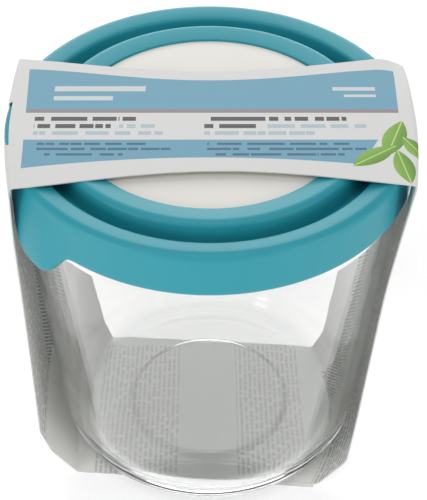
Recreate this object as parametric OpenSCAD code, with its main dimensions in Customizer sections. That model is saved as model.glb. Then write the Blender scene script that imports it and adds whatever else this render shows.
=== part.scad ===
// Round glass food keeper with a push-on lid, held in a folded card sleeve.
// Millimetres, +Z up, axis of the bowl on Z, underside of the sleeve on Z = 0.

/* [Glass bowl] */
// Height of the bare bowl
glass_h = 150; // [110:1:190]
// Diameter that the sloping wall would have at the underside
glass_foot_d = 120.7; // [100:0.1:130]
// Slope of the outer wall away from upright, degrees
glass_draft = 5.6; // [3:0.05:7]
// Thickness of the wall
glass_wall = 4; // [3:0.1:6]
// Thickness of the floor
glass_floor = 7; // [5:0.1:10]
// Radius of the outer heel between floor and wall
heel_r = 13.6; // [8:0.1:18]
// Radius of the inner heel
inner_heel_r = 10; // [6:0.1:16]
// Diameter of the shallow recess under the floor
recess_d = 66; // [40:1:84]
// Depth of that recess
recess_h = 1.2; // [0.6:0.1:2]
// Height of the upright collar that the lid grips
collar_h = 16.5; // [12:0.1:24]
// Step from the sloping wall in to the collar
collar_step = 0.5; // [0.2:0.1:1.5]

/* [Lid] */
// Gap between the lid and the glass, all round
seal_gap = 0.3; // [0.2:0.05:0.6]
// Thickness of the skirt at its lower edge
skirt_wall = 2.75; // [1.6:0.1:4]
// How far the skirt reaches below the top of the glass
skirt_drop = 15.1; // [11:0.1:18]
// Slope of the skirt outwards, degrees
skirt_draft = 2.2; // [1:0.1:5]
// Thickness of the rim over the top of the glass
rim_top = 1.9; // [1.2:0.1:3]
// Rise of the rim's crown above its inner edge
rim_crown = 0.9; // [0.3:0.1:2]
// Radius of the rim's outer shoulder
shoulder_r = 3; // [1.5:0.1:5]
// Radius of the plug's lower edge
plug_edge_r = 0.5; // [0.2:0.1:0.8]
// Radius of the rim's inner edge, above the groove
rim_edge_r = 1.8; // [0.5:0.1:2]
// Radius of the skirt's lower edge
skirt_edge_r = 2; // [0.5:0.1:2.5]
// Thickness of the plug between the groove and the mouth of the bowl
plug_wall = 2.7; // [1.8:0.1:3]
// Thickness of the groove's floor and of the plateau's wall
groove_t = 1.8; // [1.2:0.1:3]
// How far the plug reaches into the bowl below the top of the glass
plug_drop = 7; // [4:0.1:11]
// Width of the groove at its floor
groove_w = 3.8; // [2.5:0.1:6]
// Radius between that floor and the groove's sides
groove_r = 1.2; // [0.3:0.1:1.2]
// Slope of the groove's two sides, degrees
groove_draft = 9; // [4:0.5:15]
// Rise of the plateau's edge above the rim's inner edge
plateau_rise = 1.7; // [0.5:0.1:3]
// Radius of the plateau's rounded edge
plateau_r = 2.6; // [0.6:0.1:3]
// Fall of the plateau from its edge in to the disc
plateau_fall = 1; // [0.2:0.1:1.6]
// Width of the soft border from the plateau's edge in to the disc
border_w = 9.4; // [9:0.1:20]
// Depth of the disc's face below the border round it
disc_sink = 0.9; // [0.3:0.1:2]
// Thickness of the disc
disc_t = 2; // [1.4:0.1:3]
// Width of the disc's flange under the border
flange_w = 5; // [3:0.1:5.5]
// Thickness of that flange
flange_t = 1; // [0.6:0.1:1.2]
// Gap between the moulded border and the disc
mould_gap = 0.05; // [0.02:0.01:0.2]

/* [Pull tab] */
// Direction of the tab seen from above, degrees
tab_turn = 217.7; // [0:0.1:360]
// Width of the tab
tab_w = 23.4; // [16:0.1:34]
// How far the tab hangs below the skirt
tab_drop = 9.8; // [5:0.1:14]
// How far the tab's lip stands out from the skirt
tab_out = 4; // [2:0.1:7]
// Thickness of the tab
tab_t = 2.2; // [1.4:0.1:3]
// Radius of the tab's lower corners
tab_corner_r = 6; // [2:0.1:8]
// Radius of the fillet where the tab leaves the skirt
tab_fillet_r = 3; // [1:0.1:5]

/* [Card sleeve] */
// Thickness of the card
card_t = 0.5; // [0.3:0.05:0.8]
// Width of the card, along Y
sleeve_w = 77; // [50:1:100]
// Hollow of each long edge of the top panel
waist = 9; // [3:0.1:12]
// How far the rim of the lid reaches past the folds, on average
rim_poke = 1; // [0.4:0.1:2]
// Radius of the top folds
bend_r = 1.5; // [0.5:0.1:2.5]
// Sideways shift of the top panel on the lid
fold_shift = 0.5; // [0:0.1:1]
// Gap between the card and the pieces inside it
card_gap = 0.3; // [0.2:0.05:1]
// How far below the collar the right panel bows in most
knee_drop = 30; // [15:0.5:45]
// How far below the collar the left panel lies nearest the glass
belly_drop = 44; // [25:0.5:60]
// Height at which the left panel stands out most
bulge_h = 26; // [20:0.5:32]
// How far it stands off the glass there
bulge_off = 4.6; // [2:0.1:6]
// Height of the left panel's lower corner
left_corner_h = 13.5; // [10:0.5:18]
// How far that corner stands off the glass
left_corner_off = 2.4; // [1:0.1:4]
// Steepness of the lower corner panels, degrees
corner_lean = 57; // [48:1:66]
// Left panel at the fold, collar, belly, bulge, corner and floor: how far its near edge stays in
left_near_in = [4.7, 4, 0.8, -0.3, 0, 1.1]; // [-1:0.1:12]
// How far its far edge stays in at those levels
left_far_in = [1.5, 2.4, 1, 1, 1, 2.6]; // [-1:0.1:12]
// Its place along Y at those levels
left_y = [-3.4, -3, -2.6, -2.3, -2.3, -2.3]; // [-12:0.1:12]
// Right panel at the fold, collar, knee, corner and floor: how far its near edge stays in
right_near_in = [1.6, 4.1, 6.5, 6, 11.3]; // [-1:0.1:12]
// How far its far edge stays in at those levels
right_far_in = [0.4, 2.5, 4.3, 4.5, 5.6]; // [-1:0.1:12]
// Its place along Y at those levels
right_y = [-1.7, -2.9, -4.3, -8.6, -9.2]; // [-12:0.1:12]
// Set-back of the inner ply at the glued lap
lap_set_back = 2; // [1:0.1:5]
// Length of the slots that the rim of the lid looks out of
slot_w = 50; // [40:0.5:60]
// Place of their middle along Y
slot_y = -1; // [-4:0.1:4]
// Room round the lid's rim in those slots
slot_gap = 0.5; // [0.3:0.1:1.5]

/* [Hidden] */
$fn = 96;
arc_steps = 8;
bend_steps = 4;
card_columns = 10;
edge_steps = 12;
fold_tail = 2;
cut_over = 1;

// Bowl
glass_z = 2 * card_t;
glass_top = glass_z + glass_h;
foot_r = glass_foot_d / 2;
collar_low = glass_h - collar_h;
shelf_r = foot_r + collar_low * tan(glass_draft);
collar_r = shelf_r - collar_step;
mouth_r = collar_r - glass_wall;
heel_x = foot_r + heel_r * tan(glass_draft) - heel_r / cos(glass_draft);
inner_foot_r = foot_r - glass_wall / cos(glass_draft);
inner_low_r = inner_foot_r + glass_floor * tan(glass_draft);
inner_heel_x = inner_low_r + inner_heel_r * tan(glass_draft) - inner_heel_r / cos(glass_draft);
inner_shelf_z = (mouth_r - inner_foot_r) / tan(glass_draft);
lip_r = glass_wall / 2;

// Lid
edge_z = glass_top + seal_gap + rim_top;
crown_z = edge_z + rim_crown;
skirt_z = glass_top - skirt_drop;
skirt_in_r = collar_r + seal_gap;
skirt_low_r = skirt_in_r + skirt_wall;
lid_r = skirt_low_r;
shoulder_x = skirt_low_r - (crown_z - shoulder_r - skirt_z) * tan(skirt_draft) - shoulder_r;
plug_r = mouth_r - seal_gap;
plug_z = glass_top - plug_drop;
groove_z = plug_z + groove_t;
edge_r_in = plug_r - plug_wall + (edge_z - glass_top) * tan(groove_draft);
groove_out_r = edge_r_in - (edge_z - groove_z) * tan(groove_draft);
groove_in_r = groove_out_r - groove_w;
plateau_z = edge_z + plateau_rise;
plateau_edge_r = groove_in_r - (plateau_z - groove_z) * tan(groove_draft);
disc_r = plateau_edge_r - border_w;
border_z = plateau_z - plateau_fall;
disc_z = border_z - disc_sink;
disc_low = disc_z - disc_t;
flange_r = disc_r + flange_w;

// Tab
tab_low = skirt_z - tab_drop;
tab_top = crown_z - shoulder_r;
tab_half = tab_w / 2 + tab_fillet_r;
tab_sag = lid_r - sqrt(lid_r * lid_r - tab_half * tab_half);
tab_skirt_out = tab_out * (tab_top - skirt_z) / (tab_top - tab_low);
tab_bow = tab_sag + tab_skirt_out;
tab_bow_r = (tab_half * tab_half + tab_bow * tab_bow) / (2 * tab_bow);
tab_x = lid_r + tab_skirt_out - tab_bow_r;

// Sleeve, as the inner face of the card in the XZ plane
top_in_z = max(crown_z, plateau_z) + card_gap;
fold_r = lid_r - rim_poke;
shelf_z = glass_z + collar_low;
hug_x = shelf_r + card_gap / cos(glass_draft);
corner_d = heel_r + card_gap;
corner_c = heel_x * sin(corner_lean) - (glass_z + heel_r) * cos(corner_lean) + corner_d;
hug_foot = hug_x - shelf_z * tan(glass_draft);
corner_fall = tan(glass_draft) * sin(corner_lean) - cos(corner_lean);
corner_z = (corner_c - hug_foot * sin(corner_lean)) / corner_fall;
corner_x = hug_foot + corner_z * tan(glass_draft);
floor_x = (corner_c + card_t * cos(corner_lean)) / sin(corner_lean);
knee_z = shelf_z - knee_drop;
belly_z = shelf_z - belly_drop;

// Levels of the two bowed side panels, from the fold down to the floor: the height and the distance out of
// the middle of the card's inner face
left_levels = [
    [top_in_z, fold_r - fold_shift],
    [shelf_z, hug_x],
    [belly_z, hug_at(belly_z) + card_gap],
    [bulge_h, hug_at(bulge_h) + bulge_off],
    [left_corner_h, hug_at(left_corner_h) + left_corner_off],
    [card_t, floor_x]];
right_levels = [
    [top_in_z, fold_r + fold_shift],
    [shelf_z, hug_x],
    [knee_z, hug_at(knee_z)],
    [corner_z, corner_x],
    [2 * card_t, floor_x - card_t / tan(corner_lean)]];
left_panel = panel_levels(left_levels, left_near_in, left_far_in, left_y);
right_panel = panel_levels(right_levels, right_near_in, right_far_in, right_y);

// Points on an arc about c from angle a to angle b
function arc(c, r, a, b, steps = arc_steps) =
    [for (i = [0:steps]) c + r * [cos(a + (b - a) * i / steps), sin(a + (b - a) * i / steps)]];

// Line beside the sloping glass at the height z
function hug_at(z) = hug_foot + z * tan(glass_draft);

// Each level as height, distance out, how far the near and far edges stay in, and place along Y
function panel_levels(levels, near_in, far_in, y) =
    [for (i = [0:len(levels) - 1]) concat(levels[i], [near_in[i], far_in[i], y[i]])];

function turned(p) = [-p[1], p[0]];
function unit(p) = p / norm(p);

// A line of points moved sideways by d, with mitred corners
function aside(path, d) = [for (i = [0:len(path) - 1])
    let (
        before = i == 0 ? path[1] - path[0] : path[i] - path[i - 1],
        after = i == len(path) - 1 ? before : path[i + 1] - path[i],
        n = unit(turned(unit(before)) + turned(unit(after))),
        k = n * turned(unit(before))
    ) path[i] + n * d / k];

function back(list) = [for (i = [len(list) - 1:-1:0]) list[i]];

// Outline of the glass wall from the middle of the underside round to the middle of the floor
function glass_outline() = concat(
    [[0, recess_h], [recess_d / 2 - recess_h, recess_h], [recess_d / 2, 0]],
    arc([heel_x, heel_r], heel_r, -90, -glass_draft),
    [[shelf_r, collar_low], [collar_r, collar_low + collar_step]],
    arc([collar_r - lip_r, glass_h - lip_r], lip_r, 0, 180),
    [[mouth_r, inner_shelf_z]],
    arc([inner_heel_x, glass_floor + inner_heel_r], inner_heel_r, -glass_draft, -90),
    [[0, glass_floor]]);

module glass_bowl() {
    color([0.86, 0.89, 0.87, 0.35])
        translate([0, 0, glass_z])
            rotate_extrude()
                polygon(glass_outline());
}

module lid_disc() {
    color([0.89, 0.88, 0.85])
        translate([0, 0, disc_low]) {
            cylinder(r = disc_r - mould_gap, h = disc_t);
            cylinder(r = flange_r - mould_gap, h = flange_t - mould_gap);
        }
}

// Outline of the soft rim: over the top from the disc to the skirt, then back underneath
function rim_outline() = concat(
    [[disc_r, disc_low + flange_t], [disc_r, border_z]],
    arc([plateau_edge_r - plateau_r, plateau_z - plateau_r], plateau_r, 90, groove_draft),
    arc([groove_in_r + groove_r, groove_z + groove_r], groove_r, 180, 270, bend_steps),
    arc([groove_out_r - groove_r, groove_z + groove_r], groove_r, 270, 360, bend_steps),
    arc([edge_r_in + rim_edge_r, edge_z - rim_edge_r], rim_edge_r, 180 - groove_draft, 90, bend_steps),
    arc([shoulder_x, crown_z - shoulder_r], shoulder_r, 90, skirt_draft),
    arc([skirt_low_r - skirt_edge_r, skirt_z + skirt_edge_r], skirt_edge_r, 0, -90, bend_steps),
    [[skirt_in_r, skirt_z]],
    arc([collar_r - lip_r, glass_top - lip_r], lip_r + seal_gap, 0, 180),
    arc([plug_r - plug_edge_r, plug_z + plug_edge_r], plug_edge_r, 0, -90, bend_steps),
    [[groove_in_r - groove_t / 2, plug_z], [plateau_edge_r - groove_t, disc_low],
     [flange_r, disc_low], [flange_r, disc_low + flange_t]]);

// Face of the tab seen along the radius: a lobe with round corners and fillets at the skirt
function tab_side() = concat(
    arc([tab_w / 2 - tab_corner_r, tab_low + tab_corner_r], tab_corner_r, -90, 0),
    arc([tab_w / 2 + tab_fillet_r, skirt_z - tab_fillet_r], tab_fillet_r, 180, 90));

function mirrored(list) = [for (p = back(list)) [-p[0], p[1]]];

module tab_cone(inset) {
    slope = tab_out / (tab_top - tab_low);
    translate([tab_x, 0, tab_low - cut_over])
        cylinder(
            h = tab_top - tab_low + cut_over,
            r1 = tab_bow_r + (skirt_z - tab_low + cut_over) * slope - inset,
            r2 = tab_bow_r - (tab_top - skirt_z) * slope - inset);
}

module pull_tab() {
    rotate(tab_turn)
        intersection() {
            difference() {
                tab_cone(0);
                intersection() {
                    tab_cone(tab_t);
                    translate([0, 0, tab_low - 2 * cut_over])
                        cylinder(r = 2 * lid_r, h = tab_drop + 2 * cut_over);
                }
                translate([0, 0, tab_low - 2 * cut_over])
                    cylinder(r = skirt_low_r - skirt_wall / 2, h = tab_top - tab_low + 4 * cut_over);
            }
            rotate([90, 0, 90])
                linear_extrude(2 * lid_r)
                    polygon(concat(
                        tab_side(),
                        [[tab_half, skirt_z], [tab_half, tab_top + cut_over],
                         [-tab_half, tab_top + cut_over], [-tab_half, skirt_z]],
                        mirrored(tab_side())));
        }
}

module lid_rim() {
    color([0.33, 0.63, 0.69]) {
        rotate_extrude()
            polygon(rim_outline());
        pull_tab();
    }
}

// Distance out and place along Y of one level, at a share across the card from -1, near, to 1, far
function out_at(level, share) =
    level[1] - (level[3] - level[2]) / 2 * share - (level[3] + level[2]) / 2 * share * share;
function y_at(level, share) = level[4] + share * sleeve_w / 2;
function shares() = [for (j = [0:card_columns]) 2 * j / card_columns - 1];

// Inner face of a side panel at one share across, as [x, z]: off the top, round the fold, down to the floor
function side_line(levels, share) =
    let (fold = out_at(levels[0], share), last = levels[len(levels) - 1])
    concat(
        [[fold - bend_r - fold_tail, top_in_z]],
        arc([fold - bend_r, top_in_z - bend_r], bend_r, 90, 0, bend_steps),
        [for (i = [1:len(levels) - 1]) [out_at(levels[i], share), levels[i][0]]],
        [[out_at(last, share) - fold_tail, last[0]]]);

// A thin tongue past the end of that line, which keys the panel into the flat card there
function tongue(a, b) = (3 * a + b) / 4 - [fold_tail / 2, 0];
function keyed(line, other) = let (last = len(line) - 1)
    concat([tongue(line[0], other[0])], line, [tongue(line[last], other[last])]);

// The level that each point of the keyed line takes its place along Y from
function line_levels(levels) = let (last = levels[len(levels) - 1]) concat(
    [for (i = [0:bend_steps + 2]) levels[0]],
    [for (i = [1:len(levels) - 1]) levels[i]],
    [last, last]);

// Ends of a side panel, where the top and the floor go on: a line of [x, y] across the card
function top_end(levels, side) = [for (s = shares())
    [side * (out_at(levels[0], s) - bend_r - fold_tail), y_at(levels[0], s)]];
function floor_end(levels, side, inset) = let (last = levels[len(levels) - 1]) [for (s = shares())
    [side * (out_at(last, s) - inset), y_at(last, s)]];

function two_triangles(a, b, c, d) = [[a, b, c], [a, c, d]];

// A bowed side panel, as a skin inside and a skin outside on the same rows of points
module side_panel(levels, side) {
    row_levels = line_levels(levels);
    rows = len(row_levels);
    points = [for (s = shares())
        let (line = side_line(levels, s), cover = aside(line, card_t),
             inner = keyed(line, cover), outer = keyed(cover, line))
        for (i = [0:rows - 1])
            for (p = [inner[i], outer[i]])
                [side * p[0], y_at(row_levels[i], s), p[1]]];
    at = function (j, i, k) (j * rows + i) * 2 + k;
    quads = concat(
        [for (j = [0:card_columns - 1]) for (i = [0:rows - 2])
            [at(j, i, 0), at(j, i + 1, 0), at(j + 1, i + 1, 0), at(j + 1, i, 0)]],
        [for (j = [0:card_columns - 1]) for (i = [0:rows - 2])
            [at(j, i, 1), at(j + 1, i, 1), at(j + 1, i + 1, 1), at(j, i + 1, 1)]],
        [for (i = [0:rows - 2]) [at(0, i, 0), at(0, i, 1), at(0, i + 1, 1), at(0, i + 1, 0)]],
        [for (i = [0:rows - 2]) let (j = card_columns)
            [at(j, i, 0), at(j, i + 1, 0), at(j, i + 1, 1), at(j, i, 1)]],
        [for (j = [0:card_columns - 1]) [at(j, 0, 0), at(j + 1, 0, 0), at(j + 1, 0, 1), at(j, 0, 1)]],
        [for (j = [0:card_columns - 1]) let (i = rows - 1)
            [at(j, i, 0), at(j, i, 1), at(j + 1, i, 1), at(j + 1, i, 0)]]);
    polyhedron(points, [for (q = quads) for (f = two_triangles(q[0], q[1], q[2], q[3]))
        side > 0 ? f : back(f)]);
}

// Long edge of the top panel between two points, drawn in to the waist in its middle
function waist_edge(from, to, hollow) = [for (i = [1:edge_steps - 1])
    let (k = i / edge_steps) from + (to - from) * k + [0, 4 * hollow * k * (1 - k)]];

module top_panel() {
    left = top_end(left_panel, -1);
    right = top_end(right_panel, 1);
    translate([0, 0, top_in_z])
        linear_extrude(card_t)
            polygon(concat(
                left,
                waist_edge(left[card_columns], right[card_columns], -waist),
                back(right),
                waist_edge(right[0], left[0], waist)));
}

module floor_ply(z, from, to) {
    translate([0, 0, z])
        linear_extrude(card_t)
            polygon(concat(from, back(to)));
}

// What the rim of the lid takes out of the card: its own ring, and a straight slot through both side panels
module rim_slots() {
    translate([0, 0, skirt_z - slot_gap])
        linear_extrude(top_in_z - card_gap / 2 - skirt_z + slot_gap) {
            circle(lid_r + slot_gap);
            translate([0, slot_y])
                square([4 * lid_r, slot_w], center = true);
        }
}

module card_sleeve() {
    color([0.85, 0.85, 0.84])
        difference() {
            union() {
                top_panel();
                side_panel(left_panel, -1);
                side_panel(right_panel, 1);
                floor_ply(0,
                    floor_end(left_panel, -1, fold_tail), floor_end(right_panel, 1, lap_set_back));
                floor_ply(card_t,
                    floor_end(left_panel, -1, lap_set_back), floor_end(right_panel, 1, fold_tail));
            }
            rim_slots();
        }
}

glass_bowl();
lid_disc();
lid_rim();
card_sleeve();
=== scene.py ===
"""A round glass food keeper with a soft-rimmed lid, standing in its folded card sleeve."""

import math

import bpy
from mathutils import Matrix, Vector


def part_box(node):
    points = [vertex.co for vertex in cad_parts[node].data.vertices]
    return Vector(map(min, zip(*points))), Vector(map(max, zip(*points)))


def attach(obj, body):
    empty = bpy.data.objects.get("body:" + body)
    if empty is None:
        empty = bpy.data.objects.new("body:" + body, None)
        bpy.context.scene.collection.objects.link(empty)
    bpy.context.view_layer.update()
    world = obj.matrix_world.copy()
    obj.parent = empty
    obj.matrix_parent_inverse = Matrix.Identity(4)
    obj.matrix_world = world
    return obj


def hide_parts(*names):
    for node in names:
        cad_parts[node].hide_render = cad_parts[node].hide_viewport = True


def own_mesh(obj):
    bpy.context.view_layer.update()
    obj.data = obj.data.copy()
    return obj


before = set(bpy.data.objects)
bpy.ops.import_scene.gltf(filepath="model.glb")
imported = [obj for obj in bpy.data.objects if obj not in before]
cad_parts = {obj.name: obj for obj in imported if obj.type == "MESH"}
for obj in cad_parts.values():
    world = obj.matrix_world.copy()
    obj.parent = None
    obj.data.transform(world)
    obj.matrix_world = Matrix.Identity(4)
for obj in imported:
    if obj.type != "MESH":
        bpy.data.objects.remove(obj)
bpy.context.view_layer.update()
scene = bpy.context.scene

MM = 0.001
MERGE_ROOM = 0.001 * MM

# Boxes of the bowl and of the lid's two pieces
bowl_low, bowl_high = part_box("glass_bowl")
rim_low, rim_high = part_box("lid_rim")
disc_low, disc_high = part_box("lid_disc")

# Glass bowl, with its smoothing angle in degrees
GLASS_DRAFT = math.radians(5.6)
GLASS_WALL = 4 * MM
GLASS_FLOOR = 7 * MM
HEEL_R = 13.6 * MM
INNER_HEEL_R = 10 * MM
RECESS_R = 33 * MM
RECESS_H = 0.6 * MM
RECESS_SLOPE = 3.4 * MM
COLLAR_H = 16.5 * MM
COLLAR_STEP = 0.5 * MM
FLAT_INSET = 0.3 * MM
RECESS_STEPS = 16
HEEL_STEPS = 24
INNER_HEEL_STEPS = 20
LIP_STEPS = 12
BOWL_TURNS = 192
BOWL_SMOOTH = 40

# Lid, with its tilts and smoothing angles in degrees
SEAL_GAP = 0.3 * MM
PLATEAU_RISE = 1.7 * MM
PLATEAU_FALL = 1.0 * MM
PLATEAU_R = 2.6 * MM
RIM_CROWN = 0.9 * MM
RIM_EDGE_R = 1.8 * MM
SHOULDER_R = 3.0 * MM
SKIRT_DROP = 15.1 * MM
SKIRT_DRAFT = math.radians(2.2)
SKIRT_WALL = 2.75 * MM
SKIRT_EDGE_R = 2.0 * MM
PLUG_EDGE_R = 0.5 * MM
PLUG_WALL = 2.7 * MM
PLUG_DROP = 7.0 * MM
GROOVE_T = 1.8 * MM
GROOVE_W = 3.8 * MM
GROOVE_DRAFT = math.radians(9)
GROOVE_FLOOR_R = 1.2 * MM
BORDER_W = 9.4 * MM
BORDER_EDGE_R = 0.4 * MM
DISC_EDGE_R = 0.25 * MM
FLANGE_T = 1.0 * MM
MOULD_GAP = 0.05 * MM
BORDER_TILT = 10
RIM_EDGE_START = 170
SHOULDER_STEPS = 10
CROWN_STEPS = 8
CHANNEL_STEPS = 8
CORNER_STEPS = 5
EDGE_STEPS = 4
SKIRT_ROWS = 12
DISC_ROWS = 6
LID_TURNS = 220
RIM_SMOOTH = 35
DISC_SMOOTH = 40

# Pull tab: angle round the lid in degrees, how far its edge hangs and how far it stands out, in
# millimetres. The card presses its left side in
TAB_SHAPE = [
    (194, 0.0, 0.0),
    (200, 0.5, 0.3),
    (203, 2.0, 0.9),
    (206, 4.0, 2.0),
    (208.5, 5.6, 3.0),
    (211, 7.2, 3.7),
    (213.5, 9.0, 4.1),
    (216.5, 9.8, 4.3),
    (221.0, 9.8, 4.3),
    (223.2, 9.0, 3.6),
    (225.2, 6.2, 2.0),
    (226.8, 3.0, 1.1),
    (228.6, 0.7, 0.5),
    (231, 0.0, 0.1),
    (234, 0.0, 0.0),
]
TAB_TURNS = 160

# Card sleeve, with its smoothing angle in degrees
CARD_T = 0.45 * MM
SLEEVE_HALF_W = 38.5 * MM
WAIST_HALF_W = 29.5 * MM
WAIST_END = 75 * MM
NEAR_BOW = 1.6
FAR_BOW = 2.7
WAIST_EASE = 0.56
BEND_SHARE = 0.45
SLEEVE_COLUMNS = 48
FOLD_STEPS = 6
PANEL_STEPS = 10
INSIDE_SLOT = 1
EDGE_SLOT = 2
SLEEVE_SMOOTH = 30
FOLD_SLOT_Y = (-17.0 * MM, 8.5 * MM)
WALL_SLOT_Y = (-25 * MM, 23 * MM)
WALL_SLOT_DROP = 2.5 * MM
SLOT_ROOM = 1.5 * MM

# Camera, from the picture's own frame
PICTURE_W = 427
PICTURE_H = 500
FOCAL_PX = 1500
AXIS_PX = (204.9, 212.7)
SENSOR = 36
EYE = Vector((-1.77, -437.3, 492.0)) * MM
AIM = Vector((-1.77, 0, 107.4)) * MM
CLIP_NEAR = 0.01


def arc(centre, radius, start, end, steps):
    """Points on a round stretch of an outline, from one angle to the other, in degrees."""
    angles = [math.radians(start + (end - start) * i / steps) for i in range(steps + 1)]
    return [(centre[0] + radius * math.cos(a), centre[1] + radius * math.sin(a)) for a in angles]


def line(start, end, steps):
    """Evenly spaced points between two points of an outline, without its ends."""
    shares = [i / steps for i in range(1, steps)]
    return [(start[0] + (end[0] - start[0]) * s, start[1] + (end[1] - start[1]) * s) for s in shares]


def stretch(start, end):
    """Points just inside both ends of a straight stretch, which keep its shading flat."""
    start, end = Vector(start), Vector(end)
    inset = (end - start).normalized() * FLAT_INSET
    return [tuple(start + inset), tuple(end - inset)]


def begin():
    """Leaves edit mode and deselects everything."""
    if bpy.context.object and bpy.context.object.mode != "OBJECT":
        bpy.ops.object.mode_set(mode="OBJECT")
    bpy.ops.object.select_all(action="DESELECT")


def pick(piece):
    """Selects one piece alone."""
    begin()
    piece.select_set(True)
    bpy.context.view_layer.objects.active = piece


def lathe(name, outline, spins, start=0.0):
    """Draws an outline point by point in an upright plane, then spins it round Z."""
    begin()
    bpy.ops.mesh.primitive_plane_add(size=MM)
    piece = bpy.context.object
    piece.name = name
    bpy.ops.object.mode_set(mode="EDIT")
    bpy.ops.mesh.merge(type="CENTER")
    across = Vector((math.cos(start), math.sin(start), 0))
    points = [across * r + Vector((0, 0, z)) for r, z in outline]
    bpy.ops.transform.translate(value=points[0])
    for before, after in zip(points, points[1:]):
        bpy.ops.mesh.extrude_vertices_move(TRANSFORM_OT_translate={"value": after - before})
    bpy.ops.mesh.select_all(action="SELECT")
    for angle, steps in spins:
        bpy.ops.mesh.spin(steps=steps, angle=angle, center=(0, 0, 0), axis=(0, 0, 1))
    bpy.ops.mesh.select_all(action="SELECT")
    bpy.ops.mesh.remove_doubles(threshold=MERGE_ROOM)
    bpy.ops.mesh.normals_make_consistent(inside=False)
    bpy.ops.object.mode_set(mode="OBJECT")
    return piece


def smooth(piece, angle):
    pick(piece)
    bpy.ops.object.shade_smooth_by_angle(angle=math.radians(angle))


def apply_modifiers(piece):
    pick(piece)
    for modifier in list(piece.modifiers):
        bpy.ops.object.modifier_apply(modifier=modifier.name)


# Bowl, worked out from its box
glass_z = bowl_low.z
glass_top = bowl_high.z
glass_h = glass_top - glass_z
shelf_r = bowl_high.y
collar_low = glass_h - COLLAR_H
collar_r = shelf_r - COLLAR_STEP
mouth_r = collar_r - GLASS_WALL
foot_r = shelf_r - collar_low * math.tan(GLASS_DRAFT)
lip_r = GLASS_WALL / 2


def heel_centre(wall_r, radius):
    return wall_r + radius * math.tan(GLASS_DRAFT) - radius / math.cos(GLASS_DRAFT)


def make_bowl():
    slope = math.degrees(GLASS_DRAFT)
    inner_foot_r = foot_r - GLASS_WALL / math.cos(GLASS_DRAFT)
    inner_low_r = inner_foot_r + GLASS_FLOOR * math.tan(GLASS_DRAFT)
    inner_x = heel_centre(inner_low_r, INNER_HEEL_R)
    inner_shelf_z = (mouth_r - inner_foot_r) / math.tan(GLASS_DRAFT)
    outer_x = heel_centre(foot_r, HEEL_R)
    recess = []
    for i in range(RECESS_STEPS + 1):
        share = i / RECESS_STEPS
        height = RECESS_H * (1 + math.cos(math.pi * share)) / 2
        recess.append((RECESS_R + RECESS_SLOPE * (share - 0.5), height))
    heel = arc((outer_x, HEEL_R), HEEL_R, -90, -slope, HEEL_STEPS)
    shelf = (shelf_r, collar_low)
    collar = (collar_r, collar_low + COLLAR_STEP)
    lip = arc((collar_r - lip_r, glass_h - lip_r), lip_r, 0, 180, LIP_STEPS)
    mouth = (mouth_r, inner_shelf_z)
    inner_place = (inner_x, GLASS_FLOOR + INNER_HEEL_R)
    inner_heel = arc(inner_place, INNER_HEEL_R, -slope, -90, INNER_HEEL_STEPS)
    outline = [(0, RECESS_H)]
    for run in [recess, heel, [shelf, collar], lip, [mouth], inner_heel, [(0, GLASS_FLOOR)]]:
        outline = outline + stretch(outline[-1], run[0]) + run
    piece = lathe("bowl", [(r, glass_z + z) for r, z in outline], [(2 * math.pi, BOWL_TURNS)])
    smooth(piece, BOWL_SMOOTH)
    return piece


# Lid, worked out from its box
plateau_z = rim_high.z
edge_z = plateau_z - PLATEAU_RISE
crown_z = edge_z + RIM_CROWN
skirt_z = glass_top - SKIRT_DROP
skirt_in_r = collar_r + SEAL_GAP
skirt_low_r = skirt_in_r + SKIRT_WALL
shoulder_z = crown_z - SHOULDER_R
shoulder_x = skirt_low_r - (shoulder_z - skirt_z) * math.tan(SKIRT_DRAFT) - SHOULDER_R
plug_r = mouth_r - SEAL_GAP
plug_z = glass_top - PLUG_DROP
groove_z = plug_z + GROOVE_T
edge_in_r = plug_r - PLUG_WALL + (edge_z - glass_top) * math.tan(GROOVE_DRAFT)
groove_out_r = edge_in_r - (edge_z - groove_z) * math.tan(GROOVE_DRAFT)
groove_in_r = groove_out_r - GROOVE_W
plateau_r = groove_in_r - (plateau_z - groove_z) * math.tan(GROOVE_DRAFT)
disc_r = plateau_r - BORDER_W
border_z = plateau_z - PLATEAU_FALL
disc_z = disc_high.z
disc_under_z = disc_low.z
flange_r = disc_high.y + MOULD_GAP
tab_low = rim_low.z


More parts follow.
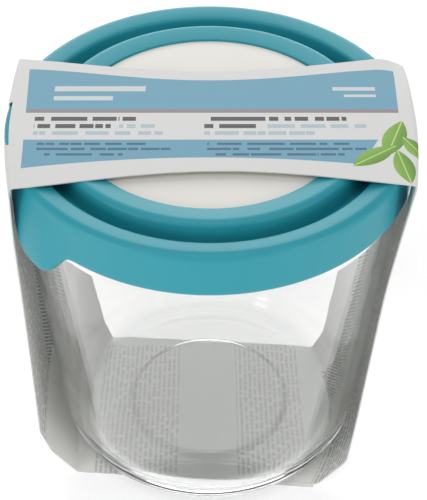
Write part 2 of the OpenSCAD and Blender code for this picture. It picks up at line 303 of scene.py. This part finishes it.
def rim_outline():
    slope = math.degrees(GROOVE_DRAFT)
    draft = math.degrees(SKIRT_DRAFT)
    tilt = 90 + BORDER_TILT
    foot_place = (skirt_low_r - SKIRT_EDGE_R, skirt_z + SKIRT_EDGE_R)
    channel_place = (collar_r - lip_r, glass_top - lip_r)
    border_place = (disc_r + BORDER_EDGE_R, border_z - BORDER_EDGE_R)
    plateau_place = (plateau_r - PLATEAU_R, plateau_z - PLATEAU_R)
    groove_in_place = (groove_in_r + GROOVE_FLOOR_R, groove_z + GROOVE_FLOOR_R)
    groove_out_place = (groove_out_r - GROOVE_FLOOR_R, groove_z + GROOVE_FLOOR_R)
    edge_place = (edge_in_r + RIM_EDGE_R, edge_z - RIM_EDGE_R)
    plug_place = (plug_r - PLUG_EDGE_R, plug_z + PLUG_EDGE_R)
    shoulder = arc((shoulder_x, shoulder_z), SHOULDER_R, 90, draft, SHOULDER_STEPS)
    foot = arc(foot_place, SKIRT_EDGE_R, 0, -90, CORNER_STEPS)
    inner_foot = (skirt_in_r, skirt_z)
    channel = arc(channel_place, lip_r + SEAL_GAP, 0, 180, CHANNEL_STEPS)
    outline = [(disc_r, disc_under_z + FLANGE_T), (disc_r, border_z - BORDER_EDGE_R)]
    outline += arc(border_place, BORDER_EDGE_R, 180, tilt, EDGE_STEPS)
    outline += arc(plateau_place, PLATEAU_R, tilt, slope, CROWN_STEPS)
    outline += arc(groove_in_place, GROOVE_FLOOR_R, 180, 270, CORNER_STEPS)
    outline += arc(groove_out_place, GROOVE_FLOOR_R, 270, 360, CORNER_STEPS)
    outline += arc(edge_place, RIM_EDGE_R, RIM_EDGE_START, tilt, EDGE_STEPS)
    outline += shoulder
    outline += line(shoulder[-1], foot[0], SKIRT_ROWS)
    outline += foot
    outline += [inner_foot]
    outline += line(inner_foot, channel[0], SKIRT_ROWS)
    outline += channel
    outline += [(plug_r, plug_z + PLUG_EDGE_R)]
    outline += arc(plug_place, PLUG_EDGE_R, 0, -90, EDGE_STEPS)
    outline += [(groove_in_r - GROOVE_T / 2, plug_z), (plateau_r - GROOVE_T, disc_under_z)]
    outline += [(flange_r, disc_under_z), (flange_r, disc_under_z + FLANGE_T)]
    return outline + outline[:1]


def tab_at(turn):
    """How far the tab hangs and stands out at an angle round the lid."""
    angle = math.degrees(turn) % 360
    if not TAB_SHAPE[0][0] < angle < TAB_SHAPE[-1][0]:
        return 0.0, 0.0
    index = max(i for i in range(len(TAB_SHAPE) - 1) if TAB_SHAPE[i][0] <= angle)
    before, after = TAB_SHAPE[index], TAB_SHAPE[index + 1]
    ahead = TAB_SHAPE[min(index + 2, len(TAB_SHAPE) - 1)]
    behind = TAB_SHAPE[max(index - 1, 0)]
    span = after[0] - before[0]
    t = (angle - before[0]) / span
    values = []
    for k in (1, 2):
        leave = (after[k] - behind[k]) / (after[0] - behind[0]) * span
        arrive = (ahead[k] - before[k]) / (ahead[0] - before[0]) * span
        rise = after[k] - before[k]
        curve = leave * t * (1 - t) ** 2 - arrive * (1 - t) * t ** 2
        values.append((before[k] + rise * (3 - 2 * t) * t ** 2 + curve) * MM)
    return values


def pull_tab(piece):
    """Draws the skirt down and out into the tab, most at its lower edge."""
    height = shoulder_z - skirt_z
    for vertex in piece.data.vertices:
        radius = math.hypot(vertex.co.x, vertex.co.y)
        if vertex.co.z > shoulder_z or radius < skirt_in_r - SEAL_GAP:
            continue
        hang, out = tab_at(math.atan2(vertex.co.y, vertex.co.x))
        down = (shoulder_z - vertex.co.z) / height
        spread = radius + out * (1 - (1 - down) ** 2)
        vertex.co.z = max(vertex.co.z - hang * down, tab_low)
        vertex.co.x *= spread / radius
        vertex.co.y *= spread / radius


def make_rim():
    first, last = math.radians(TAB_SHAPE[0][0]), math.radians(TAB_SHAPE[-1][0])
    spins = [(last - first, TAB_TURNS), (2 * math.pi - last + first, LID_TURNS)]
    piece = lathe("soft_rim", rim_outline(), spins, first)
    pull_tab(piece)
    smooth(piece, RIM_SMOOTH)
    return piece


def make_disc():
    inner = disc_r - MOULD_GAP
    outer = disc_high.y
    flange_top = disc_under_z + FLANGE_T - MOULD_GAP
    outline = [(0, disc_z)]
    outline += line((0, disc_z), (inner - DISC_EDGE_R, disc_z), DISC_ROWS)
    outline += arc((inner - DISC_EDGE_R, disc_z - DISC_EDGE_R), DISC_EDGE_R, 90, 0, EDGE_STEPS)
    outline += [(inner, flange_top), (outer, flange_top), (outer, disc_under_z), (0, disc_under_z)]
    piece = lathe("disc", outline, [(2 * math.pi, BOWL_TURNS)])
    smooth(piece, DISC_SMOOTH)
    return piece


# Stations along the sleeve from one end of the card to the other, in millimetres: x and z in the middle
# of the card, at its near edge and at its far edge, the shift along Y, and the length of the bend
SLEEVE = [
    ((50, 0.25), (42.5, 0.25), (48, 0.25), -10.4, 0),
    ((-55.6, 0.25), (-54.5, 0.25), (-45.5, 0.25), -2.3, 1),
    ((-64.5, 13.6), (-64.5, 13.6), (-50.3, 13.6), -2.3, 2.5),
    ((-68.0, 26), (-68.3, 25.5), (-52.0, 26), -2.3, 1.2),
    ((-70.0, 90), (-69.2, 90), (-62.5, 90), -2.6, 25),
    ((-74.2, 134), (-70.2, 134), (-71.8, 134), -3.0, 10),
    ((-74.6, 155.2), (-69.8, 155.1), (-73.4, 155.2), -3.4, 1.5),
    ((66, 155.2), (66, 155.2), (66.5, 155.2), -2.0, 4),
    ((75.6, 155.1), (72.2, 155.1), (75.4, 150.4), -1.7, 1.6),
    ((74.3, 134), (68.7, 134), (71.8, 132), -2.9, 10),
    ((71.3, 105), (64.4, 105), (66.5, 105), -4.3, 12),
    ((64.8, 38), (58.3, 38), (58.3, 38), -7.5, 6),
    ((62.2, 10), (55.6, 14.4), (54.2, 12), -8.6, 3),
    ((55.6, 0.73), (44.3, 0.73), (48.5, 0.73), -9.2, 2),
    ((-53, 0.73), (-52, 0.73), (-44, 0.73), -3.0, 0),
]
FOLD_LEFT = 6
FOLD_RIGHT = 8
FLOOR_RIGHT = 13


def station(entry, across):
    """The point and bend of a station at a share across the card, from -1 at the near edge to 1."""
    middle, near, far, shift, bend = entry
    edge, bow = (near, NEAR_BOW) if across < 0 else (far, FAR_BOW)
    x, z = Vector(middle).lerp(Vector(edge), abs(across) ** bow)
    return Vector((x, shift, z)) * MM, bend * MM


def folded_line(across):
    """One line of the card from end to end, with its bends rounded."""
    stops = [station(entry, across) for entry in SLEEVE]
    points = [stops[0][0]]
    for i in range(1, len(stops)):
        here, bend = stops[i]
        before = stops[i - 1][0]
        run = here - before
        stop = here - run.normalized() * min(bend, run.length * BEND_SHARE)
        start = points[-1]
        points += [start.lerp(stop, (k + 1) / PANEL_STEPS) for k in range(PANEL_STEPS)]
        if i == len(stops) - 1:
            break
        ahead = stops[i + 1][0] - here
        leave = here + ahead.normalized() * min(bend, ahead.length * BEND_SHARE)
        for k in range(1, FOLD_STEPS + 1):
            t = k / FOLD_STEPS
            points.append(stop.lerp(here, t).lerp(here.lerp(leave, t), t))
    return points


def half_width(along):
    """Half the width of the card, narrower in the middle of the top."""
    share = min(1.0, abs(along) / WAIST_END) ** 2
    ease = 1 + WAIST_EASE - WAIST_EASE * share
    return WAIST_HALF_W + (SLEEVE_HALF_W - WAIST_HALF_W) * ease * share


def flat_places(points, origin):
    """Distances along one line of the card, from the middle of the top."""
    places = [0.0]
    for before, after in zip(points, points[1:]):
        places.append(places[-1] + (after - before).length)
    return [place - places[origin] + points[origin].x for place in places]


def row_of(index):
    """The row of points at which the bend of a station begins."""
    return index * (PANEL_STEPS + FOLD_STEPS) - FOLD_STEPS


def make_sleeve():
    middle = folded_line(0.0)
    rows = len(middle) - 1
    top_rows = range(row_of(FOLD_LEFT), row_of(FOLD_LEFT + 1))
    origin = min(top_rows, key=lambda i: abs(middle[i].x))
    widths = [half_width(place) for place in flat_places(middle, origin)]
    begin()
    bpy.ops.mesh.primitive_grid_add(x_subdivisions=rows, y_subdivisions=SLEEVE_COLUMNS, size=2)
    piece = bpy.context.object
    piece.name = "sleeve"
    lines = []
    for column in range(SLEEVE_COLUMNS + 1):
        points = folded_line(column / SLEEVE_COLUMNS * 2 - 1)
        lines.append((points, flat_places(points, origin)))
    floor_row = row_of(FLOOR_RIGHT) + FOLD_STEPS
    floor_start = lines[SLEEVE_COLUMNS // 2][1][floor_row]
    flat = {}
    for vertex in piece.data.vertices:
        column = round((vertex.co.y + 1) / 2 * SLEEVE_COLUMNS)
        row = round((vertex.co.x + 1) / 2 * rows)
        points, places = lines[column]
        width = (column / SLEEVE_COLUMNS * 2 - 1) * widths[row]
        vertex.co = points[row] + Vector((0, width, 0))
        along = places[row]
        if row > floor_row:
            along = floor_start + middle[floor_row].x - vertex.co.x
        flat[vertex.index] = (along, vertex.co.y)
    uv = piece.data.uv_layers.active.data
    for loop in piece.data.loops:
        uv[loop.index].uv = flat[loop.vertex_index]
    return piece, floor_start


def slot_edge(y):
    """Where the top of the card ends beside the left slot."""
    fold, bend = station(SLEEVE[FOLD_LEFT], y / SLEEVE_HALF_W)
    return fold.x + bend


def slot_top(x, y):
    """Where the side of the card ends above a slot, just under its fold."""
    entry = SLEEVE[FOLD_LEFT if x < 0 else FOLD_RIGHT]
    fold, bend = station(entry, y / SLEEVE_HALF_W)
    return fold.z - WALL_SLOT_DROP


def cut_slots(piece):
    """Takes out the card where the rim of the lid comes through the two folds."""
    pick(piece)
    bpy.ops.object.mode_set(mode="EDIT")
    bpy.ops.mesh.select_mode(type="FACE")
    bpy.ops.mesh.select_all(action="DESELECT")
    bpy.ops.object.mode_set(mode="OBJECT")
    for face in piece.data.polygons:
        x, y, z = face.center
        fold = x < slot_edge(y) and FOLD_SLOT_Y[0] < y < FOLD_SLOT_Y[1]
        wall = z < slot_top(x, y) and WALL_SLOT_Y[0] < y < WALL_SLOT_Y[1]
        face.select = z > skirt_z - SLOT_ROOM and (fold or wall)
    bpy.ops.object.mode_set(mode="EDIT")
    bpy.ops.mesh.delete(type="FACE")
    bpy.ops.object.mode_set(mode="OBJECT")


def thicken(piece):
    modifier = piece.modifiers.new("card", "SOLIDIFY")
    modifier.thickness = CARD_T
    modifier.offset = 0
    modifier.use_even_offset = True
    modifier.material_offset = INSIDE_SLOT
    modifier.material_offset_rim = EDGE_SLOT
    apply_modifiers(piece)


class Socket:
    """An output of a material's node. Sums on it add Math nodes."""

    def __init__(self, paint, socket):
        self.paint = paint
        self.socket = socket

    def math(self, operation, *values):
        return self.paint.node("ShaderNodeMath", {"operation": operation}, dict(enumerate(values)))

    def __add__(self, other):
        return self.math("ADD", self, other)

    def __radd__(self, other):
        return self.math("ADD", other, self)

    def __sub__(self, other):
        return self.math("SUBTRACT", self, other)

    def __rsub__(self, other):
        return self.math("SUBTRACT", other, self)

    def __mul__(self, other):
        return self.math("MULTIPLY", self, other)

    def __rmul__(self, other):
        return self.math("MULTIPLY", other, self)

    def __truediv__(self, other):
        return self.math("DIVIDE", self, other)

    def __gt__(self, other):
        return self.math("GREATER_THAN", self, other)

    def __lt__(self, other):
        return self.math("LESS_THAN", self, other)

    def __abs__(self):
        return self.math("ABSOLUTE", self)


class Paint:
    """A material and its nodes."""

    def __init__(self, name):
        self.material = bpy.data.materials.new(name)
        self.material.use_nodes = True
        self.tree = self.material.node_tree
        self.tree.nodes.clear()

    def node(self, kind, settings=None, sockets=None, out=None):
        """Adds a node, sets it up, fills its sockets and gives its output."""
        made = self.tree.nodes.new(kind)
        for name, value in (settings or {}).items():
            setattr(made, name, value)
        for name, value in (sockets or {}).items():
            if isinstance(value, Socket):
                self.tree.links.new(value.socket, made.inputs[name])
            else:
                made.inputs[name].default_value = value
        if not made.outputs:
            return None
        shown = [s for s in made.outputs if s.enabled]
        return Socket(self, made.outputs[out] if out else shown[0])

    def place(self):
        return self.node("ShaderNodeTexCoord", out="Object")

    def flat(self):
        """The two coordinates of the flat card, in metres."""
        uv = self.node("ShaderNodeUVMap")
        u = self.node("ShaderNodeSeparateXYZ", None, {0: uv}, "X")
        v = self.node("ShaderNodeSeparateXYZ", None, {0: uv}, "Y")
        return u, v

    def noise(self, scale, detail):
        sockets = {"Vector": self.place(), "Scale": scale, "Detail": detail}
        return self.node("ShaderNodeTexNoise", None, sockets, "Fac")

    def dashes(self, place, scale):
        """Noise along one line."""
        sockets = {"W": place, "Scale": scale, "Detail": 1.0}
        return self.node("ShaderNodeTexNoise", {"noise_dimensions": "1D"}, sockets, "Fac")

    def mix(self, share, first, second):
        settings = {"data_type": "RGBA", "clamp_factor": True}
        sockets = {0: share, 6: self.colour(first), 7: self.colour(second)}
        made = self.node("ShaderNodeMix", settings, sockets)
        return Socket(self, made.socket.node.outputs[2])

    def colour(self, value):
        return value if isinstance(value, Socket) else (*value, 1)

    def bump(self, height, strength, distance):
        sockets = {"Height": height, "Strength": strength, "Distance": distance}
        return self.node("ShaderNodeBump", None, sockets)

    def finish(self, sockets):
        shader = self.node("ShaderNodeBsdfPrincipled", None, sockets)
        self.node("ShaderNodeOutputMaterial", None, {"Surface": shader})
        return self.material


# Colours, in linear light
GLASS_TINT = (0.988, 0.993, 0.986)
TEAL = (0.012, 0.268, 0.332)
PALE_TEAL = (0.015, 0.283, 0.352)
OFF_WHITE = (0.67, 0.66, 0.62)
PALE_OFF_WHITE = (0.69, 0.68, 0.64)
BOARD = (0.62, 0.62, 0.613)
BLUE = (0.145, 0.325, 0.43)
MAUVE = (0.28, 0.22, 0.235)
INK = (0.03, 0.03, 0.035)
PALE_INK = (0.36, 0.46, 0.50)
NAVY = (0.045, 0.12, 0.19)
LEAF = (0.23, 0.42, 0.07)
LEAF_SHADE = (0.11, 0.25, 0.035)
LEAF_RIB = (0.42, 0.58, 0.20)
GREY_INK = (0.2, 0.2, 0.195)
INSIDE_BOARD = (0.95, 0.95, 0.91)
FLOOR_GREY = (0.59, 0.59, 0.59)
PALE_FLOOR_GREY = (0.61, 0.61, 0.61)
WHITE = (1, 1, 1)


def shade(colour, share):
    """A colour at a share of its own brightness."""
    return tuple(part * share for part in colour)


def clear_glass():
    paint = Paint("clear_glass")
    ripple = paint.noise(scale=45, detail=1.0)
    return paint.finish({
        "Base Color": (*GLASS_TINT, 1),
        "Roughness": 0.0,
        "IOR": 1.5,
        "Transmission Weight": 1.0,
        "Normal": paint.bump(ripple, strength=0.06, distance=1 * MM),
    })


def teal_elastomer():
    paint = Paint("teal_elastomer")
    cloud = paint.noise(scale=60, detail=3.0)
    grain = paint.noise(scale=2600, detail=2.0)
    colour = paint.mix(cloud, TEAL, PALE_TEAL)
    return paint.finish({
        "Base Color": colour,
        "Roughness": 0.42 + grain * 0.12,
        "Specular IOR Level": 0.45,
        "Normal": paint.bump(grain, strength=0.12, distance=0.08 * MM),
    })


def satin_plastic():
    paint = Paint("satin_plastic")
    cloud = paint.noise(scale=45, detail=3.0)
    grain = paint.noise(scale=3200, detail=2.0)
    colour = paint.mix(cloud, OFF_WHITE, PALE_OFF_WHITE)
    return paint.finish({
        "Base Color": colour,
        "Roughness": 0.5 + grain * 0.1,
        "Normal": paint.bump(grain, strength=0.08, distance=0.05 * MM),
    })


# Printed bands: ends along the card with their slant, edges across it with their bow
BANDS_START = 67.6 * MM
BANDS_START_SLANT = 0.034
UPPER_END = 69.4 * MM
UPPER_END_SLANT = 0.026
LOWER_END = 68 * MM
LOWER_END_SLANT = 0.5
UPPER_HIGH = 21.1 * MM
UPPER_HIGH_BOW = 2.74
UPPER_HIGH_FLARE = 260
STRIPE_HIGH = 3.0 * MM
STRIPE_LOW = 1.0 * MM
LOWER_HIGH = 14.8 * MM
LOWER_LOW = 24.9 * MM
LOWER_LOW_BOW = 1.35
WHITE_COVER = 0.85
INK_COVER = 0.9
RIB_SHARE = 0.07

# Breaks in the rows of bars: how fine they are, the noise below which a row is bare, and the shift
# from row to row
BREAK_SCALE = 260
BREAK_LEVEL = 0.4
BREAK_SHIFT = 0.37

# Rows of plain bars in the white strip and the lower band: middle and height along the card's width,
# start, end and colour
STRIP_ROWS = [
    (-2.6, 2.4, -64, -27, INK),
    (-6.9, 2.4, -64, -36, INK),
    (-6.9, 2.2, -33, -20, PALE_INK),
    (-11.0, 2.2, -64, -17, PALE_INK),
    (-2.6, 2.4, -2, 50, INK),
    (-6.9, 2.4, -2, 18, INK),
    (-6.9, 2.2, 21, 57, PALE_INK),
    (-11.0, 2.2, -2, 38, PALE_INK),
    (-17.2, 1.3, -62, -23, NAVY),
    (-20.1, 1.3, -62, -13, NAVY),
    (-23.2, 1.3, -59, -31, NAVY),
    (-17.2, 1.3, -1, 50, NAVY),
    (-20.1, 1.3, -1, 56, NAVY),
    (-23.2, 1.3, 2, 48, NAVY),
]
# White bars on the upper band: start and end along the card, low and high along its width
WHITE_BARS = [
    (-58, -24, 14.2, 17.4),
    (-58, -36, 8.6, 11.2),
    (46, 62, 14.6, 16.8),
    (50, 62, 10.6, 12.2),
]
# Leaves: middle, turn in degrees, half length and half width
LEAVES = [
    (66.5, -14, 70, 11, 4.2),
    (58.5, -24, 35, 10, 3.8),
    (68.5, -30, 100, 9.5, 3.6),
    (73.5, -20, 120, 8, 3.2),
]


def printed_card():
    paint = Paint("printed_card")
    u, v = paint.flat()
    fibre = paint.noise(scale=900, detail=4.0)
    cloud = paint.noise(scale=30, detail=2.0)
    square = u * u
    waist = square * UPPER_HIGH_BOW - square * square * UPPER_HIGH_FLARE

    def within(value, low, high):
        return (value > low) * (value < high)

    left = u > v * -BANDS_START_SLANT - BANDS_START
    upper_end = u < v * UPPER_END_SLANT + UPPER_END
    lower_end = u < v * LOWER_END_SLANT + LOWER_END
    upper = left * upper_end * (v > STRIPE_HIGH) * (v < waist + UPPER_HIGH)
    stripe = left * upper_end * within(v, STRIPE_LOW, STRIPE_HIGH)
    lower = left * lower_end * (v < -LOWER_HIGH) * (v > square * -LOWER_LOW_BOW - LOWER_LOW)
    colour = paint.mix(cloud, shade(BOARD, 0.97), BOARD)
    colour = paint.mix(upper + lower, colour, BLUE)
    colour = paint.mix(stripe, colour, MAUVE)
    for start, end, low, high in WHITE_BARS:
        bar = within(u, start * MM, end * MM) * within(v, low * MM, high * MM)
        colour = paint.mix(bar * WHITE_COVER, colour, BOARD)
    for number, (middle, height, start, end, ink) in enumerate(STRIP_ROWS):
        solid = paint.dashes(u + number * BREAK_SHIFT, BREAK_SCALE) > BREAK_LEVEL
        low, high = middle - height / 2, middle + height / 2
        bar = within(u, start * MM, end * MM) * within(v, low * MM, high * MM)
        colour = paint.mix(bar * solid * INK_COVER, colour, ink)
    for x, y, turn, length, width in LEAVES:
        cos, sin = math.cos(math.radians(turn)), math.sin(math.radians(turn))
        along = ((u - x * MM) * cos + (v - y * MM) * sin) / (length * MM)
        across = ((v - y * MM) * cos - (u - x * MM) * sin) / (width * MM)
        room = 1 - along * along - abs(across)
        green = paint.mix(across * 0.5 + 0.5, LEAF_SHADE, LEAF)
        green = paint.mix(abs(across) < RIB_SHARE, green, LEAF_RIB)
        colour = paint.mix(room > 0, colour, green)
    return paint.finish({
        "Base Color": colour,
        "Roughness": 0.5 + fibre * 0.12,
        "Specular IOR Level": 0.25,
        "Normal": paint.bump(fibre, strength=0.1, distance=0.05 * MM),
    })


# Fine bars inside the card: blocks along it in millimetres, the floor's from the right fold of the floor
LEFT_BLOCK = (-205, -82)
RIGHT_BLOCK_START = 82
FLOOR_BLOCKS = [(14, 42), (66, 101)]
FLOOR_BARS_Y = (-43 * MM, 30 * MM)
GLASS_BARS_Y = (-4 * MM, 14 * MM)

# How dark the bars are on the panels behind the glass, on their margins and on the floor. On the panels
# behind the glass this is print and painted shade where the card lies against the glass
LEFT_INK_AND_SHADE = 0.7
RIGHT_INK_AND_SHADE = 0.95
LEFT_MARGIN_INK = 0.5
RIGHT_MARGIN_INK = 0.4
FLOOR_INK = 0.32

# Rows of fine bars: pitch, inked share of the pitch, and noise below which a row is bare
SLANTED_ROWS = (1.5 * MM, 0.6, 0.36)
STRAIGHT_ROWS = (2.1 * MM, 0.56, 0.42)
FINE_SCALE = 420
FINE_SHIFT = 0.731


def inside_card(floor_start):
    """White card with rows of fine grey bars on the side panels and the floor."""
    paint = Paint("inside_card")
    u, v = paint.flat()
    fibre = paint.noise(scale=1200, detail=4.0)

    def rows(across, along, pitch, inked, level):
        """Rows of broken bars."""
        line = across / pitch
        number = paint.node("ShaderNodeMath", {"operation": "FLOOR"}, {0: line})
        solid = paint.dashes(along + number * FINE_SHIFT, FINE_SCALE) > level
        return ((line - number) < inked) * solid

    def block(start, end):
        return (u > start * MM) * (u < end * MM)

    floor = floor_start / MM
    left_panel = block(*LEFT_BLOCK)
    right_panel = block(RIGHT_BLOCK_START, floor)
    floor_right, floor_left = [block(floor + start, floor + end) for start, end in FLOOR_BLOCKS]
    behind_glass = (v > GLASS_BARS_Y[0]) * (v < GLASS_BARS_Y[1])
    margin = v < GLASS_BARS_Y[0]
    # Print and painted shade: the bars behind the glass are darker where the card lies against the glass
    glass_band_ink_and_shade = (left_panel * LEFT_INK_AND_SHADE + right_panel * RIGHT_INK_AND_SHADE) * behind_glass
    plain = (left_panel * LEFT_MARGIN_INK + right_panel * RIGHT_MARGIN_INK) * margin
    floors = (floor_right + floor_left) * FLOOR_INK * (v > FLOOR_BARS_Y[0]) * (v < FLOOR_BARS_Y[1])
    slant = math.sqrt(0.5)
    slanted = rows((abs(u) - v) * slant, (abs(u) + v) * slant, *SLANTED_ROWS)
    straight = rows(u, v, *STRAIGHT_ROWS)
    ink = glass_band_ink_and_shade * slanted + (plain + floors) * straight
    board = paint.mix(fibre, shade(INSIDE_BOARD, 0.96), INSIDE_BOARD)
    colour = paint.mix(ink, board, GREY_INK)
    return paint.finish({
        "Base Color": colour,
        "Roughness": 0.7 + fibre * 0.1,
        "Normal": paint.bump(fibre, strength=0.2, distance=0.05 * MM),
    })


def card_edge():
    paint = Paint("card_edge")
    fibre = paint.noise(scale=1800, detail=4.0)
    colour = paint.mix(fibre, shade(BOARD, 0.86), shade(BOARD, 0.97))
    return paint.finish({
        "Base Color": colour,
        "Roughness": 0.8,
        "Normal": paint.bump(fibre, strength=0.3, distance=0.05 * MM),
    })


def dress(piece, body, node, materials):
    for material in materials:
        piece.data.materials.append(material)
    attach(piece, body)
    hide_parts(node)


bowl = make_bowl()
dress(bowl, "bowl", "glass_bowl", [clear_glass()])

soft_rim = make_rim()
dress(soft_rim, "lid", "lid_rim", [teal_elastomer()])

disc = make_disc()
dress(disc, "lid", "lid_disc", [satin_plastic()])

sleeve, floor_start = make_sleeve()
for material in [printed_card(), inside_card(floor_start), card_edge()]:
    sleeve.data.materials.append(material)
cut_slots(sleeve)
thicken(sleeve)
smooth(sleeve, SLEEVE_SMOOTH)
dress(sleeve, "sleeve", "card_sleeve", [])
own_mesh(sleeve)


# Stage: the floor, its glow with the share left at the back as a painted shadow behind the object, the
# sky and the soft lights in metres
FLOOR_SIZE = 8
FLOOR_GLOW = 0.52
GLOW_REACH = 0.08
PAINTED_SHADOW_BACK_GLOW = 0.73
SKY = 0.47
LIGHT_AIM = Vector((0, 0, 0.1))
LIGHTS = [
    ("key", (0, -0.55, 1.35), (1.2, 1.0), 5),
    ("back", (-0.1, 0.88, 1.0), (0.95, 0.8), 5),
    ("low back", (0, 1.2, 0.45), (1.2, 0.6), 8),
    ("left fill", (-0.8, -0.65, 0.3), (0.5, 0.4), 3.2),
    ("right fill", (0.8, -0.65, 0.3), (0.5, 0.4), 2.4),
]


def make_floor():
    begin()
    bpy.ops.mesh.primitive_plane_add(size=FLOOR_SIZE)
    floor = bpy.context.object
    floor.name = "floor"
    paint = Paint("pale_floor")
    tone = paint.noise(scale=3, detail=2.0)
    colour = paint.mix(tone, FLOOR_GREY, PALE_FLOOR_GREY)
    back = paint.node("ShaderNodeSeparateXYZ", None, {0: paint.place()}, "Y")
    # Painted shadow: the floor's glow fades toward the back, where the object's shadow falls behind it
    glow_with_painted_shadow = paint.mix(back / GLOW_REACH, WHITE, shade(WHITE, PAINTED_SHADOW_BACK_GLOW))
    floor.data.materials.append(paint.finish({
        "Base Color": colour,
        "Roughness": 0.9,
        "Specular IOR Level": 0.0,
        "Emission Color": glow_with_painted_shadow,
        "Emission Strength": FLOOR_GLOW,
    }))


def make_world():
    world = bpy.data.worlds.new("studio")
    world.use_nodes = True
    background = world.node_tree.nodes["Background"]
    background.inputs["Color"].default_value = (*WHITE, 1)
    background.inputs["Strength"].default_value = SKY
    scene.world = world


def softbox(name, place, size, power):
    begin()
    bpy.ops.object.light_add(type="AREA", location=place)
    lamp = bpy.context.object
    lamp.name = name
    lamp.data.shape = "RECTANGLE"
    lamp.data.size, lamp.data.size_y = size
    lamp.data.energy = power
    toward = LIGHT_AIM - Vector(place)
    lamp.rotation_euler = toward.to_track_quat("-Z", "Y").to_euler()


def make_camera():
    begin()
    bpy.ops.object.camera_add(location=EYE)
    camera = bpy.context.object
    camera.rotation_euler = (AIM - EYE).to_track_quat("-Z", "Y").to_euler()
    camera.data.sensor_width = SENSOR
    camera.data.lens = FOCAL_PX * SENSOR / PICTURE_H
    camera.data.shift_x = (PICTURE_W / 2 - AXIS_PX[0]) / PICTURE_H
    camera.data.shift_y = (AXIS_PX[1] - PICTURE_H / 2) / PICTURE_H
    camera.data.clip_start = CLIP_NEAR
    scene.camera = camera


make_floor()
make_world()
for light in LIGHTS:
    softbox(*light)
make_camera()
scene.view_settings.view_transform = "Standard"

# Light runs far inside thick glass and between white card walls
scene.cycles.max_bounces = 24
scene.cycles.diffuse_bounces = 8
scene.cycles.glossy_bounces = 16
scene.cycles.transmission_bounces = 24

bpy.context.view_layer.update()
